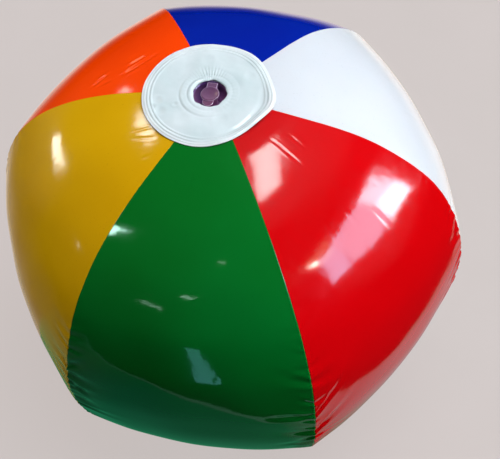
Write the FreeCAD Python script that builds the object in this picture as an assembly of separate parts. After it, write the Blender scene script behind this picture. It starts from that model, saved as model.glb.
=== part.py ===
"""Inflatable beach ball: six welded film panels, two end discs and a push-in valve with a tethered plug.

Millimetres. The origin is the ball's centre, +Z runs through the valve, and -Y through the middle of the
green panel. Each sub-part is written to parts/NAME.step.
"""

import FreeCAD, Part

import math
import os

# The ball's shape: a rounded hexagon in plan, drawn up and down a flattened round profile.
SEAM_RADIUS = 175.0  # centre to a seam, at the equator
PANEL_RADIUS = 164.0  # centre to a panel's middle, at the equator
HALF_HEIGHT = 158.0  # centre to where the profile crosses the axis
PROFILE_POWER = 2.24  # 2 is an ellipse; more is squarer
PANEL_COLOURS = ("green", "red", "white", "blue", "orange", "yellow")
FIRST_PANEL_ANGLE = -90.0  # the green panel's middle; the others follow counter-clockwise
PANEL_ANGLE = 360.0 / len(PANEL_COLOURS)

# The film and its welds.
FILM = 0.3
FIT_GAP = 0.05  # between pieces that are welded or rest together
WELD_HALF_WIDTH = 2.5
PANEL_ROWS = 28
PANEL_COLUMNS = 8

# The end discs.
DISC_FILM = 0.5
DISC_RADIUS = 42.5
OPENING_RADIUS = 37.0  # the panels are trimmed to this circle under the discs
DISC_FLAT_RADIUS = 36.0
DISC_LIFT = 0.15  # clears the bulge of the panels' ends
WELD_RIDGES = (37.4, 39.4, 41.2)  # radii of the embossed rings
RIDGE_RADIUS = 0.35

# The valve, in the top disc.
HOLE_RADIUS = 10.9
FLANGE_RADIUS = 18.6
FLANGE_BORE = 11.2
FLANGE_THICKNESS = 0.9
CUP_WALL = 0.45
CUP_STRAIGHT = 5.0  # depth of the diaphragm's upright part
STEM_RADIUS = 4.8
STEM_BORE = 3.3
STEM_LENGTH = 19.2
COLLAR_RADIUS = 6.2
COLLAR_HEIGHT = 1.2
COLLAR_DROP = 12.6  # from the stem's mouth down to the collar's foot
MOUTH_RADIUS = 5.8
MOUTH_HEIGHT = 1.2
MOUTH_DROP = 0.8  # the mouth stands this far below the disc's underside
MOUTH_CHAMFER = 0.4
PLUG_HEAD_RADIUS = 6.0
PLUG_HEAD_HEIGHT = 1.6
PLUG_TOP_RADIUS = 3.2
PLUG_TIP_RADIUS = 2.25
PLUG_LENGTH = 4.7
PLUG_HOLLOW_RADIUS = 2.0
PLUG_FLOOR = 1.0
TAB_WIDTH = 7.0
TAB_REACH = 9.7
TAB_THICKNESS = 0.9
TETHER_WIDTH = 6.8
TETHER_THICKNESS = 0.7
TETHER_DROP = 0.9  # from the mouth's top down to the strap's lower middle line
TETHER_BEND_RADIUS = 0.95  # of its middle line
TETHER_BEND_Y = 8.6
FLAP_RADIUS = 4.4
FLAP_THICKNESS = 0.5
FLAP_TAB_WIDTH = 2.4
FLAP_TAB_REACH = 4.9

Z_AXIS = FreeCAD.Vector(0, 0, 1)
ORIGIN = FreeCAD.Vector(0, 0, 0)


# ---------------------------------------------------------------- the ball's surface


def profile_height(radius, reach, half_height):
    """Height of the round profile at a radius, where it reaches out to reach at the equator."""
    share = (radius / reach) ** PROFILE_POWER
    return half_height * (1.0 - share) ** (1.0 / PROFILE_POWER)


def reach_at(angle, depth):
    """Distance from the axis to the film at the equator, at an angle from a panel's middle."""
    seam, middle = SEAM_RADIUS - depth, PANEL_RADIUS - depth
    half_chord = seam * math.sin(math.radians(PANEL_ANGLE / 2))
    rise = middle - seam * math.cos(math.radians(PANEL_ANGLE / 2))
    arc_radius = (half_chord**2 + rise**2) / (2 * rise)
    arc_centre = middle - arc_radius
    turn = math.radians(angle)
    return arc_centre * math.cos(turn) + math.sqrt(arc_radius**2 - (arc_centre * math.sin(turn)) ** 2)


def film_point(panel_middle, angle, share, depth):
    """A point this deep in the film. share runs from 0 at the top opening to 1 at the bottom one."""
    reach = reach_at(angle, depth)
    half_height = HALF_HEIGHT - depth
    first = math.atan2(OPENING_RADIUS / reach, profile_height(OPENING_RADIUS, reach, 1.0))
    tilt = first + share * (math.pi - 2 * first)
    across, up = math.sin(tilt), math.cos(tilt)
    scale = (across**PROFILE_POWER + abs(up) ** PROFILE_POWER) ** (-1.0 / PROFILE_POWER)
    turn = math.radians(panel_middle + angle)
    radius = reach * across * scale
    return FreeCAD.Vector(radius * math.cos(turn), radius * math.sin(turn), half_height * up * scale)


# ---------------------------------------------------------------- solids from faces


def solid_from(faces):
    """One solid from faces that share their edges."""
    shell = Part.makeShell(faces)
    shell.sewShape()
    solid = Part.makeSolid(shell)
    if solid.Volume < 0:
        solid.reverse()
    return solid


def surface_edges(surface):
    """The four border curves of a surface as edges: low u, high u, low v, high v."""
    u0, u1, v0, v1 = surface.bounds()
    return [c.toShape() for c in (surface.uIso(u0), surface.uIso(u1), surface.vIso(v0), surface.vIso(v1))]


def panel(middle):
    """One panel: a thin curved shell between two seam planes, trimmed round at both ends."""
    skins = []
    for depth in (0.0, FILM):
        grid = []
        for row in range(PANEL_ROWS + 1):
            share = row / PANEL_ROWS
            angles = [(column / PANEL_COLUMNS - 0.5) * PANEL_ANGLE for column in range(PANEL_COLUMNS + 1)]
            grid.append([film_point(middle, angle, share, depth) for angle in angles])
        skin = Part.BSplineSurface()
        skin.interpolate(grid)
        skins.append(skin)
    sides = [Part.makeRuledSurface(*pair) for pair in zip(*(surface_edges(skin) for skin in skins))]
    return solid_from([skin.toShape() for skin in skins] + sides)


def weld_rail(seam_angle, side, depth):
    """One long edge of a weld band. side is -1 for its clockwise edge, 0 for the seam, 1 for the other."""
    half = PANEL_ANGLE / 2
    points = []
    for row in range(PANEL_ROWS + 1):
        seam_point = film_point(seam_angle - half, half, row / PANEL_ROWS, depth)
        inset = math.degrees(WELD_HALF_WIDTH / math.hypot(seam_point.x, seam_point.y))
        if side > 0:
            points.append(film_point(seam_angle + half, inset - half, row / PANEL_ROWS, depth))
        else:
            points.append(film_point(seam_angle - half, half + side * inset, row / PANEL_ROWS, depth))
    rail = Part.BSplineCurve()
    rail.interpolate(points)
    return rail.toShape()


def weld_band(seam_angle):
    """The doubled strip inside a seam, where two panels' margins are fused: a shallow V along the seam."""
    outside, inside = FILM + FIT_GAP, 2 * FILM + FIT_GAP
    corners = [(-1, outside), (0, outside), (1, outside), (1, inside), (0, inside), (-1, inside)]
    rails = [weld_rail(seam_angle, side, depth) for side, depth in corners]
    faces = [Part.makeRuledSurface(a, b) for a, b in zip(rails, rails[1:] + rails[:1])]
    for end in (0, -1):
        left, seam, right, right_in, seam_in, left_in = (rail.Vertexes[end].Point for rail in rails)
        for a, b, b_in, a_in in ((left, seam, seam_in, left_in), (seam, right, right_in, seam_in)):
            outer_side = Part.LineSegment(a, b).toShape()
            inner_side = Part.LineSegment(a_in, b_in).toShape()
            faces.append(Part.makeRuledSurface(outer_side, inner_side))
    return solid_from(faces)


def turned(outline):
    """A solid of revolution about Z from (radius, height) corners."""
    points = [FreeCAD.Vector(radius, 0, height) for radius, height in outline]
    wire = Part.makePolygon(points + points[:1])
    return Part.Face(wire).revolve(ORIGIN, Z_AXIS, 360)


def ring_bead(radius, height, bead):
    """A thin round ring about Z."""
    return Part.makeTorus(radius, bead, FreeCAD.Vector(0, 0, height), Z_AXIS)


# ---------------------------------------------------------------- the end discs

DISC_UNDERSIDE = profile_height(OPENING_RADIUS, SEAM_RADIUS, HALF_HEIGHT) + DISC_LIFT
RIM_UNDERSIDE = profile_height(DISC_RADIUS, SEAM_RADIUS, HALF_HEIGHT) + DISC_LIFT


def disc_height(radius):
    """Height of a disc's outer face: flat in the middle, then sloping down on to the panels."""
    slope = (DISC_UNDERSIDE - RIM_UNDERSIDE) / (DISC_RADIUS - DISC_FLAT_RADIUS)
    return DISC_UNDERSIDE + DISC_FILM - slope * max(0.0, radius - DISC_FLAT_RADIUS)


def end_disc(hole_radius):
    """A white end disc with embossed weld rings, right way up for the top of the ball."""
    disc = turned([
        (hole_radius, DISC_UNDERSIDE),
        (DISC_FLAT_RADIUS, DISC_UNDERSIDE),
        (DISC_RADIUS, RIM_UNDERSIDE),
        (DISC_RADIUS, RIM_UNDERSIDE + DISC_FILM),
        (DISC_FLAT_RADIUS, DISC_UNDERSIDE + DISC_FILM),
        (hole_radius, DISC_UNDERSIDE + DISC_FILM),
    ])
    for radius in WELD_RIDGES:
        disc = disc.fuse(ring_bead(radius, disc_height(radius), RIDGE_RADIUS))
    return disc


def valve_disc():
    """The top disc, with the valve's hole in its middle."""
    return end_disc(HOLE_RADIUS)


def base_disc():
    """The plain bottom disc, which the ball can rest on."""
    return end_disc(0.0).mirror(ORIGIN, Z_AXIS)


# ---------------------------------------------------------------- the valve

MOUTH_TOP = DISC_UNDERSIDE - MOUTH_DROP
STEM_FOOT = MOUTH_TOP - STEM_LENGTH
COLLAR_FOOT = MOUTH_TOP - COLLAR_DROP
HEAD_UNDERSIDE = MOUTH_TOP + FIT_GAP


def valve_flange():
    """The flat ring welded to the underside of the top disc."""
    underside = DISC_UNDERSIDE - FLANGE_THICKNESS
    return turned([
        (FLANGE_BORE, underside),
        (FLANGE_RADIUS, underside),
        (FLANGE_RADIUS, DISC_UNDERSIDE),
        (FLANGE_BORE, DISC_UNDERSIDE),
    ])


def valve_diaphragm():
    """The thin flexible cup that lets the stem push in and pull out. It is fixed to the flange's bore."""
    outside = FLANGE_BORE
    inside = outside - CUP_WALL
    bend = DISC_UNDERSIDE - CUP_STRAIGHT
    collar_edge = COLLAR_RADIUS + 2 * FIT_GAP
    foot_top = COLLAR_FOOT + COLLAR_HEIGHT
    return turned([
        (inside, DISC_UNDERSIDE),
        (inside, bend),
        (collar_edge, foot_top),
        (collar_edge, COLLAR_FOOT),
        (collar_edge + CUP_WALL, COLLAR_FOOT),
        (outside, bend),
        (outside, DISC_UNDERSIDE),
    ])


def valve_stem():
    """The blow tube: a mouth rim on top, a collar for the diaphragm, and a seat for the flap at its foot."""
    return turned([
        (STEM_BORE, STEM_FOOT),
        (STEM_RADIUS, STEM_FOOT),
        (STEM_RADIUS, COLLAR_FOOT),
        (COLLAR_RADIUS, COLLAR_FOOT),
        (COLLAR_RADIUS, COLLAR_FOOT + COLLAR_HEIGHT),
        (STEM_RADIUS, COLLAR_FOOT + COLLAR_HEIGHT),
        (STEM_RADIUS, MOUTH_TOP - MOUTH_HEIGHT),
        (MOUTH_RADIUS, MOUTH_TOP - MOUTH_HEIGHT),
        (MOUTH_RADIUS, MOUTH_TOP),
        (STEM_BORE + MOUTH_CHAMFER, MOUTH_TOP),
        (STEM_BORE, MOUTH_TOP - 2 * MOUTH_CHAMFER),
    ])


def valve_plug():
    """The stopper: a round head, a tapered hollow shank that seals the bore, and a finger tab to -Y."""
    head_top = HEAD_UNDERSIDE + PLUG_HEAD_HEIGHT
    tip = HEAD_UNDERSIDE - PLUG_LENGTH
    body = turned([
        (0, tip),
        (PLUG_TIP_RADIUS, tip),
        (PLUG_TOP_RADIUS, HEAD_UNDERSIDE),
        (PLUG_HEAD_RADIUS, HEAD_UNDERSIDE),
        (PLUG_HEAD_RADIUS, head_top),
        (PLUG_HOLLOW_RADIUS, head_top),
        (PLUG_HOLLOW_RADIUS, tip + PLUG_FLOOR),
        (0, tip + PLUG_FLOOR),
    ])
    tab_end = TAB_REACH - TAB_WIDTH / 2
    tab_root = (PLUG_TOP_RADIUS + PLUG_HEAD_RADIUS) / 2
    corner = FreeCAD.Vector(-TAB_WIDTH / 2, -tab_end, HEAD_UNDERSIDE)
    tab = Part.makeBox(TAB_WIDTH, tab_end - tab_root, TAB_THICKNESS, corner)
    tip_centre = FreeCAD.Vector(0, -tab_end, HEAD_UNDERSIDE)
    tab = tab.fuse(Part.makeCylinder(TAB_WIDTH / 2, TAB_THICKNESS, tip_centre))
    return body.fuse(tab).removeSplitter()


def plug_tether():
    """The strap that keeps the plug on the stem: from the mouth rim it bends back to the plug's head."""
    half = TETHER_THICKNESS / 2
    low = MOUTH_TOP - TETHER_DROP
    bend_height = low + TETHER_BEND_RADIUS
    outer, inner = TETHER_BEND_RADIUS + half, TETHER_BEND_RADIUS - half
    root = PLUG_TOP_RADIUS

    def at(y, z):
        return FreeCAD.Vector(-TETHER_WIDTH / 2, y, z)

    def bend(radius):
        low_end, far, high_end = (
            at(TETHER_BEND_Y, bend_height - radius),
            at(TETHER_BEND_Y + radius, bend_height),
            at(TETHER_BEND_Y, bend_height + radius),
        )
        return Part.Arc(low_end, far, high_end).toShape()

    outline = [
        Part.makeLine(at(root, low - half), at(TETHER_BEND_Y, low - half)),
        bend(outer),
        Part.makeLine(at(TETHER_BEND_Y, bend_height + outer), at(root, bend_height + outer)),
        Part.makeLine(at(root, bend_height + outer), at(root, bend_height + inner)),
        Part.makeLine(at(root, bend_height + inner), at(TETHER_BEND_Y, bend_height + inner)),
        bend(inner),
        Part.makeLine(at(TETHER_BEND_Y, low + half), at(root, low + half)),
        Part.makeLine(at(root, low + half), at(root, low - half)),
    ]
    strap = Part.Face(Part.Wire(outline)).extrude(FreeCAD.Vector(TETHER_WIDTH, 0, 0))
    head_and_mouth = Part.makeCylinder(
        PLUG_HEAD_RADIUS + FIT_GAP, 2 * outer + TETHER_THICKNESS, FreeCAD.Vector(0, 0, low - 2 * half)
    )
    return strap.cut(head_and_mouth)


def check_flap():
    """The non-return flap under the stem's foot, with a small tab on the -Y side that it bends about."""
    top = STEM_FOOT - 2 * FIT_GAP
    flap = Part.makeCylinder(FLAP_RADIUS, FLAP_THICKNESS, FreeCAD.Vector(0, 0, top - FLAP_THICKNESS))
    corner = FreeCAD.Vector(-FLAP_TAB_WIDTH / 2, -FLAP_TAB_REACH, top - FLAP_THICKNESS)
    tab = Part.makeBox(FLAP_TAB_WIDTH, FLAP_TAB_REACH - FLAP_RADIUS / 2, FLAP_THICKNESS, corner)
    return flap.fuse(tab).removeSplitter()


# ---------------------------------------------------------------- everything


def build():
    """Every sub-part by its node name."""
    parts = {}
    for index, colour in enumerate(PANEL_COLOURS):
        middle = FIRST_PANEL_ANGLE + index * PANEL_ANGLE
        following = PANEL_COLOURS[(index + 1) % len(PANEL_COLOURS)]
        parts[f"panel_{colour}"] = panel(middle)
        parts[f"seam_weld_{colour}_{following}"] = weld_band(middle + PANEL_ANGLE / 2)
    parts["valve_disc"] = valve_disc()
    parts["base_disc"] = base_disc()
    parts["valve_flange"] = valve_flange()
    parts["valve_diaphragm"] = valve_diaphragm()
    parts["valve_stem"] = valve_stem()
    parts["valve_plug"] = valve_plug()
    parts["plug_tether"] = plug_tether()
    parts["check_flap"] = check_flap()
    return parts


def main():
    os.makedirs("parts", exist_ok=True)
    for name, shape in build().items():
        shape.exportStep(f"parts/{name}.step")
        print(f"{name}: valid {shape.isValid()}, {len(shape.Solids)} solid, {shape.Volume:.1f} mm3")


main()
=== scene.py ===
"""The look of an inflatable beach ball: glossy welded vinyl, milky end discs and a clear push-in valve."""

import math

import bmesh
import bpy
import numpy as np
from mathutils import Matrix, Vector


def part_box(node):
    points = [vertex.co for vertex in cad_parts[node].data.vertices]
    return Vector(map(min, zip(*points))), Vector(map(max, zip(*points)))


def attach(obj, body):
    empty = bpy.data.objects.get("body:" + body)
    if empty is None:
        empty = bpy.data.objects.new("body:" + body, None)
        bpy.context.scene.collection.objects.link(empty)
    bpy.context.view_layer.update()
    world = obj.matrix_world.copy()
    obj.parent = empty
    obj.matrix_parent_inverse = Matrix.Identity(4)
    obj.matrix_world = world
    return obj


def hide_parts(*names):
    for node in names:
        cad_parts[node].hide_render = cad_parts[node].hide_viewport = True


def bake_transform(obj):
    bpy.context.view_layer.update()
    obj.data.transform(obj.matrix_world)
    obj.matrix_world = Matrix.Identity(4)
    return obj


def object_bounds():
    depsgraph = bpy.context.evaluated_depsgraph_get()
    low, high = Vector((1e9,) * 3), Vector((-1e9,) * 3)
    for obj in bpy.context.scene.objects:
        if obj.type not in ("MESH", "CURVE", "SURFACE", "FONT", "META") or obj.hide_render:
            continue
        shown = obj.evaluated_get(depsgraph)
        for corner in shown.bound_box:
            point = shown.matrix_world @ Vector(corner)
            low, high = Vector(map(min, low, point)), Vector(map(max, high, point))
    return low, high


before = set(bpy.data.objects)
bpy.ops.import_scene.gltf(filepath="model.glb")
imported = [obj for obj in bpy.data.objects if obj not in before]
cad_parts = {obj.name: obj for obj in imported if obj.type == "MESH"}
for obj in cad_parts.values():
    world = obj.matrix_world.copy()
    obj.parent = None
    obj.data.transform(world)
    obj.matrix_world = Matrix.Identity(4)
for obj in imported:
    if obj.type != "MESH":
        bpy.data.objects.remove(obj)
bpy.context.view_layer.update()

MM = 0.001
# the valve and its disc's rim sit off the ball's axis
VALVE_SHIFT = Vector((-3.0 * MM, 2.2 * MM, 0))
RIM_SHIFT = Vector((-4.2 * MM, 2.5 * MM, 0))

# ------------------------------------------------------------------ the ball's surface, from the CAD boxes

COLOURS = ("green", "red", "white", "blue", "orange", "yellow")
HALF_PANEL = math.radians(30)
FIRST_PANEL = math.radians(-90)
PROFILE_POWER = 2.24
PANEL_ROWS = 420
PANEL_COLUMNS = 96
FILM = 0.3 * MM
TUCK_RADIUS = 32 * MM
TUCK_DROP = 0.25 * MM

panel_low, panel_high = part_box("panel_green")
SEAM_RADIUS = panel_high.x - panel_low.x  # a sixth of a turn: the chord is the radius
PANEL_RADIUS = -panel_low.y
OPENING_RADIUS = -panel_high.y / math.cos(HALF_PANEL)
HALF_HEIGHT = panel_high.z / (1 - (OPENING_RADIUS / SEAM_RADIUS) ** PROFILE_POWER) ** (1 / PROFILE_POWER)


def reach_at(angle):
    """Distance from the axis to the film at the equator, at angles from a panel's middle."""
    half_chord = SEAM_RADIUS * math.sin(HALF_PANEL)
    rise = PANEL_RADIUS - SEAM_RADIUS * math.cos(HALF_PANEL)
    arc = (half_chord**2 + rise**2) / (2 * rise)
    centre = PANEL_RADIUS - arc
    return centre * np.cos(angle) + np.sqrt(arc**2 - (centre * np.sin(angle)) ** 2)


def film_grid(angles, rows):
    """Points (row, column, xyz) of a panel with its middle at angle 0, from the top opening to the bottom."""
    reach = reach_at(angles)[None, :]
    share = np.linspace(0, 1, rows)[:, None]
    opening = OPENING_RADIUS / reach
    first = np.arctan2(opening, (1 - opening**PROFILE_POWER) ** (1 / PROFILE_POWER))
    tilt = first + share * (math.pi - 2 * first)
    across, up = np.sin(tilt), np.cos(tilt)
    scale = (across**PROFILE_POWER + np.abs(up) ** PROFILE_POWER) ** (-1 / PROFILE_POWER)
    radius = reach * across * scale
    return np.stack([radius * np.cos(angles), radius * np.sin(angles), HALF_HEIGHT * up * scale], axis=-1)


def grid_normals(points):
    along, across = np.gradient(points, axis=0), np.gradient(points, axis=1)
    normals = np.cross(across, along)
    normals /= np.linalg.norm(normals, axis=-1, keepdims=True)
    outward = np.sign((normals * points).sum(-1, keepdims=True))
    return normals * outward


def distance_from_equator(points):
    """Length along each column from the equator, positive towards the valve."""
    steps = np.linalg.norm(np.diff(points, axis=0), axis=-1)
    length = np.concatenate([np.zeros((1, points.shape[1])), np.cumsum(steps, axis=0)])
    return length[-1:] / 2 - length


# ------------------------------------------------------------------ creases in the film

PUCKERS = 26
PUCKER_SPAN = 128 * MM
PUCKER_DEPTH = 1.15 * MM
PUCKER_SPREAD = 0.62  # deepest at the equator, by this share of the span
PUCKER_SEED = 310


def seam_puckers(index):
    """One seam's puckers: place along it, depth, width, and the length and slant on each side."""
    rng = np.random.default_rng(PUCKER_SEED + index)
    spots = (np.arange(PUCKERS) + rng.uniform(-0.42, 0.42, PUCKERS) + 0.5) / PUCKERS * 2 - 1
    puckers = []
    for spot in spots:
        strength = math.exp(-((spot / PUCKER_SPREAD) ** 2)) * rng.uniform(0.25, 1.0) ** 1.3
        width = rng.uniform(1.5, 3.4) * MM
        sides = [(rng.uniform(10, 24) * (0.5 + strength) * MM, rng.normal(0, 0.45)) for _ in range(2)]
        puckers.append((spot * PUCKER_SPAN, PUCKER_DEPTH * strength, width, sides))
    return puckers


def crease_profile(q):
    """A narrow valley between two soft shoulders."""
    return -np.exp(-(q**2)) + 0.42 * np.exp(-(((np.abs(q) - 1.75) / 0.8) ** 2))


def pucker_depth(puckers, side, inward, along):
    """Height change from a seam's puckers at a distance inward from the seam and a place along it."""
    total = np.zeros_like(inward)
    for spot, depth, width, sides in puckers:
        length, slant = sides[side]
        q = (along - spot - inward * slant) / (width * (1 + 0.9 * inward / length))
        near = (np.abs(q) < 4.5) & (inward < 2.2 * length)
        fade = np.exp(-((inward[near] / length) ** 2) * 1.6)
        total[near] += depth * crease_profile(q[near]) * fade
    return total


# Creases away from the seams: panel, degrees from its middle, millimetres from the equator, length in
# millimetres, turn from the panel's length in degrees, depth and half-width in millimetres.
CREASES = [
    ("red", -0.5, 129, 40, 2, 0.26, 1.0),
    ("red", -9.0, 141, 24, -2, 0.24, 1.0),
    ("red", -7.4, 137, 15, 1, 0.16, 0.8),
    ("red", 8.0, 122, 24, 3, 0.22, 0.9),
    ("red", 2.5, 104, 14, 8, 0.12, 0.8),
    ("red", -12.0, 118, 13, -10, 0.14, 1.0),
    ("red", 14.5, 141, 12, 10, 0.12, 0.8),
    ("red", -1.2, 196, 24, -3, 0.22, 1.1),
    ("red", 8.5, 197, 13, 6, 0.18, 1.0),
    ("yellow", 6.5, 208, 14, 20, 0.22, 1.1),
    ("yellow", 14.0, 207, 16, 34, 0.24, 1.1),
    ("yellow", 26.0, 203, 7, 29, 0.24, 1.0),
    ("yellow", 2.0, 176, 20, 12, 0.20, 1.2),
    ("yellow", -6.0, 132, 26, -6, 0.22, 1.3),
    ("yellow", 7.0, 96, 22, 8, 0.20, 1.3),
    ("orange", 5.0, 196, 26, -74, 0.95, 2.0),
    ("orange", 3.5, 191, 15, -70, 0.85, 1.9),
    ("orange", 20.5, 177, 13, -74, 0.85, 1.9),
    ("orange", 23.0, 183, 9, -41, 0.75, 1.7),
    ("orange", 4.0, 150, 20, 8, 0.18, 1.2),
    ("orange", -4.0, 92, 22, -8, 0.20, 1.3),
    ("green", 3.0, 120, 18, 68, 0.12, 1.2),
    ("green", -8.0, 122, 14, 78, 0.12, 1.0),
    ("green", -2.0, 196, 12, 5, 0.14, 1.0),
    ("green", 10.0, 60, 18, -12, 0.14, 1.3),
    ("blue", 5.0, 188, 16, 38, 0.20, 1.2),
    ("blue", 11.0, 182, 14, 30, 0.16, 1.0),
    ("blue", -8.0, 120, 22, 5, 0.20, 1.2),
    ("white", 6.0, 160, 18, 6, 0.16, 1.2),
    ("white", -9.0, 110, 22, -4, 0.18, 1.3),
    ("white", 2.0, 196, 12, 12, 0.16, 1.0),
]

# every crease's depth and half-width are scaled by these
CREASE_DEPTH = 0.62
CREASE_WIDTH = 0.8
CREASE_BOW = 0.0022  # how far a crease bows sideways, by the square of its run in metres


def placed_creases(colour, angle, along, radius):
    total = np.zeros_like(along)
    for panel, degrees, place, length, turn, depth, width in CREASES:
        if panel != colour:
            continue
        sideways = (angle - math.radians(degrees)) * radius
        lengthways = along - place * MM
        c, s = math.cos(math.radians(turn)), math.sin(math.radians(turn))
        run = lengthways * c + sideways * s
        off = sideways * c - lengthways * s + CREASE_BOW * run**2
        fade = np.exp(-((2 * run / (length * MM)) ** 4))
        total += CREASE_DEPTH * depth * MM * crease_profile(off / (CREASE_WIDTH * width * MM)) * fade
    return total


WAVES = 14


def soft_waves(points, scale, seed):
    """A smooth random height field in space, about -1 to 1, with bumps about scale metres long."""
    rng = np.random.default_rng(seed)
    total = np.zeros(points.shape[:-1])
    for _ in range(WAVES):
        direction = rng.normal(size=3)
        direction *= 2 * math.pi / (scale * rng.uniform(0.75, 1.6) * np.linalg.norm(direction))
        total += np.sin(points @ direction + rng.uniform(0, 2 * math.pi))
    return total / math.sqrt(WAVES)


PUCKERS_BY_SEAM = [seam_puckers(index) for index in range(len(COLOURS))]

# The panels aren't quite equal, so each seam strays: degrees from its even place, at places along it in
# millimetres from the equator.
SEAM_PLACES = (-230, -60, 15, 60, 95, 145, 170, 195, 225)
SEAM_DRIFT = {
    "green": (0.0, 0.5, 0.6, 0.8, 0.9, 0.8, 0.7, 0.5, 0.6),
    "red": (0.0, -1.8, -3.0, -2.6, -1.4, -2.0, -2.6, -3.6, -7.0),
    "white": (0.0, -1.0, -1.4, -1.7, -2.0, -2.2, -2.4, -3.8, -7.0),
    "blue": (0.0, 0.4, 0.6, 0.6, 0.6, 0.7, 0.9, 1.0, 0.8),
    "orange": (0.0, 0.6, 0.8, 0.8, 0.8, 0.9, 1.1, 1.3, 1.8),
    "yellow": (0.0, 1.4, 2.0, 3.1, 2.9, 3.0, 3.5, 4.4, 5.8),
}


DRIFT_BLUR = ((-22, 0.1), (-11, 0.2), (0, 0.4), (11, 0.2), (22, 0.1))  # shift in millimetres, weight


def seam_drift(index, along):
    """How far the seam after a panel strays, in radians, smoothed between its places."""
    values = SEAM_DRIFT[COLOURS[index]]
    total = sum(
        np.interp(along / MM + shift, SEAM_PLACES, values) * weight
        for shift, weight in DRIFT_BLUR
    )
    return np.radians(total)


CREASE_MARGIN = 9 * MM  # creases fade out this near a seam
OPENING_MARGIN = 7 * MM  # and this near the discs
SEAM_BLEND = 5 * MM
RELIEF, RELIEF_LENGTH, RELIEF_SEED = 0.22 * MM, 46 * MM, 5


def film_surface(index, angles):
    """A panel's outer surface with its creases, in the row frame, with a short tuck under each disc."""
    middle = FIRST_PANEL + index * 2 * HALF_PANEL
    flat = film_grid(angles, PANEL_ROWS)
    along = distance_from_equator(flat)
    radius = np.hypot(flat[..., 0], flat[..., 1])
    angle = np.broadcast_to(angles, radius.shape)
    across = (angle + HALF_PANEL) / (2 * HALF_PANEL)
    drift = seam_drift(index - 1, along) * (1 - across) + seam_drift(index, along) * across
    turned = middle + angle + drift
    points = np.stack([radius * np.cos(turned), radius * np.sin(turned), flat[..., 2]], axis=-1)
    normals = grid_normals(points)

    from_left = (angle + HALF_PANEL) * radius
    from_right = (HALF_PANEL - angle) * radius
    height = pucker_depth(PUCKERS_BY_SEAM[index - 1], 1, from_left, along)
    height += pucker_depth(PUCKERS_BY_SEAM[index], 0, from_right, along)
    edge_fade = 1 - np.exp(-((np.minimum(from_left, from_right) / CREASE_MARGIN) ** 2))
    height += edge_fade * placed_creases(COLOURS[index], angle + drift, along, radius)
    height += RELIEF * soft_waves(points, RELIEF_LENGTH, RELIEF_SEED)
    height *= 1 - np.exp(-(((radius - OPENING_RADIUS) / OPENING_MARGIN) ** 2))

    # at a seam both panels move along the seam's own normal, so that they stay together
    seam_left = seam_normal(turned[:, 0], normals[:, 0])
    seam_right = seam_normal(turned[:, -1], normals[:, -1])
    weight_left = np.exp(-((from_left / SEAM_BLEND) ** 2))[..., None]
    weight_right = np.exp(-((from_right / SEAM_BLEND) ** 2))[..., None]
    direction = normals * (1 - weight_left - weight_right)
    direction = direction + weight_left * seam_left[:, None] + weight_right * seam_right[:, None]
    direction /= np.linalg.norm(direction, axis=-1, keepdims=True)
    film = points + direction * height[..., None]

    # under each disc the film runs on a little way, almost flat
    shrink = np.array([TUCK_RADIUS / OPENING_RADIUS, TUCK_RADIUS / OPENING_RADIUS, 1.0])
    top_tuck = film[:1] * shrink - np.array([0, 0, TUCK_DROP])
    base_tuck = film[-1:] * shrink + np.array([0, 0, TUCK_DROP])
    return np.concatenate([top_tuck, film, base_tuck])


def seam_normal(angles, normals):
    """The normals at a panel's edge, laid into the seam's own upright plane."""
    out = np.stack([np.cos(angles), np.sin(angles), np.zeros_like(angles)], axis=-1)
    flat = (normals * out).sum(-1, keepdims=True) * out + normals[:, 2:] * np.array([0.0, 0.0, 1.0])
    return flat / np.linalg.norm(flat, axis=-1, keepdims=True)


# ------------------------------------------------------------------ meshes


def mesh_object(name, vertices, faces, material, smooth=True):
    mesh = bpy.data.meshes.new(name)
    mesh.from_pydata([tuple(v) for v in vertices], [], faces)
    mesh.validate()
    if smooth:
        mesh.polygons.foreach_set("use_smooth", [True] * len(mesh.polygons))
    mesh.materials.append(material)
    piece = bpy.data.objects.new(name, mesh)
    bpy.context.scene.collection.objects.link(piece)
    return piece


def grid_faces(rows, columns, wrap_columns=False):
    faces = []
    for row in range(rows - 1):
        here, below = row * columns, (row + 1) * columns
        for c in range(columns if wrap_columns else columns - 1):
            following = (c + 1) % columns
            faces.append((here + c, here + following, below + following, below + c))
    return faces


def capped_faces(rows, around):
    """A closed strip: rings of points joined in order, with a cap at each end."""
    caps = [tuple(range(around)), tuple((rows - 1) * around + k for k in reversed(range(around)))]
    return grid_faces(rows, around, wrap_columns=True) + caps


def face_outward(piece):
    """Turns the faces of a closed piece to point out."""
    mesh = bmesh.new()
    mesh.from_mesh(piece.data)
    bmesh.ops.recalc_face_normals(mesh, faces=mesh.faces)
    mesh.to_mesh(piece.data)
    mesh.free()


def thicken(piece, thickness):
    """Gives a sheet its thickness, inward from the modelled face."""
    solid = piece.modifiers.new("thickness", "SOLIDIFY")
    solid.thickness = thickness
    solid.offset = -1
    solid.use_even_offset = True


def round_edges(piece, width, edge_highlight_material=None):
    """Rounds the sharp edges, and when one is given, gives the rounded strips a material of their own: the
    lighter edge vinyl, a painted highlight.
    """
    rounding = piece.modifiers.new("rounding", "BEVEL")
    rounding.width = width
    rounding.segments = 3
    rounding.limit_method = "ANGLE"
    rounding.angle_limit = math.radians(35)
    if edge_highlight_material:
        piece.data.materials.append(edge_highlight_material)
        rounding.material = 1


LATHE_SEGMENTS = 96
ON_AXIS = 1e-9


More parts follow.
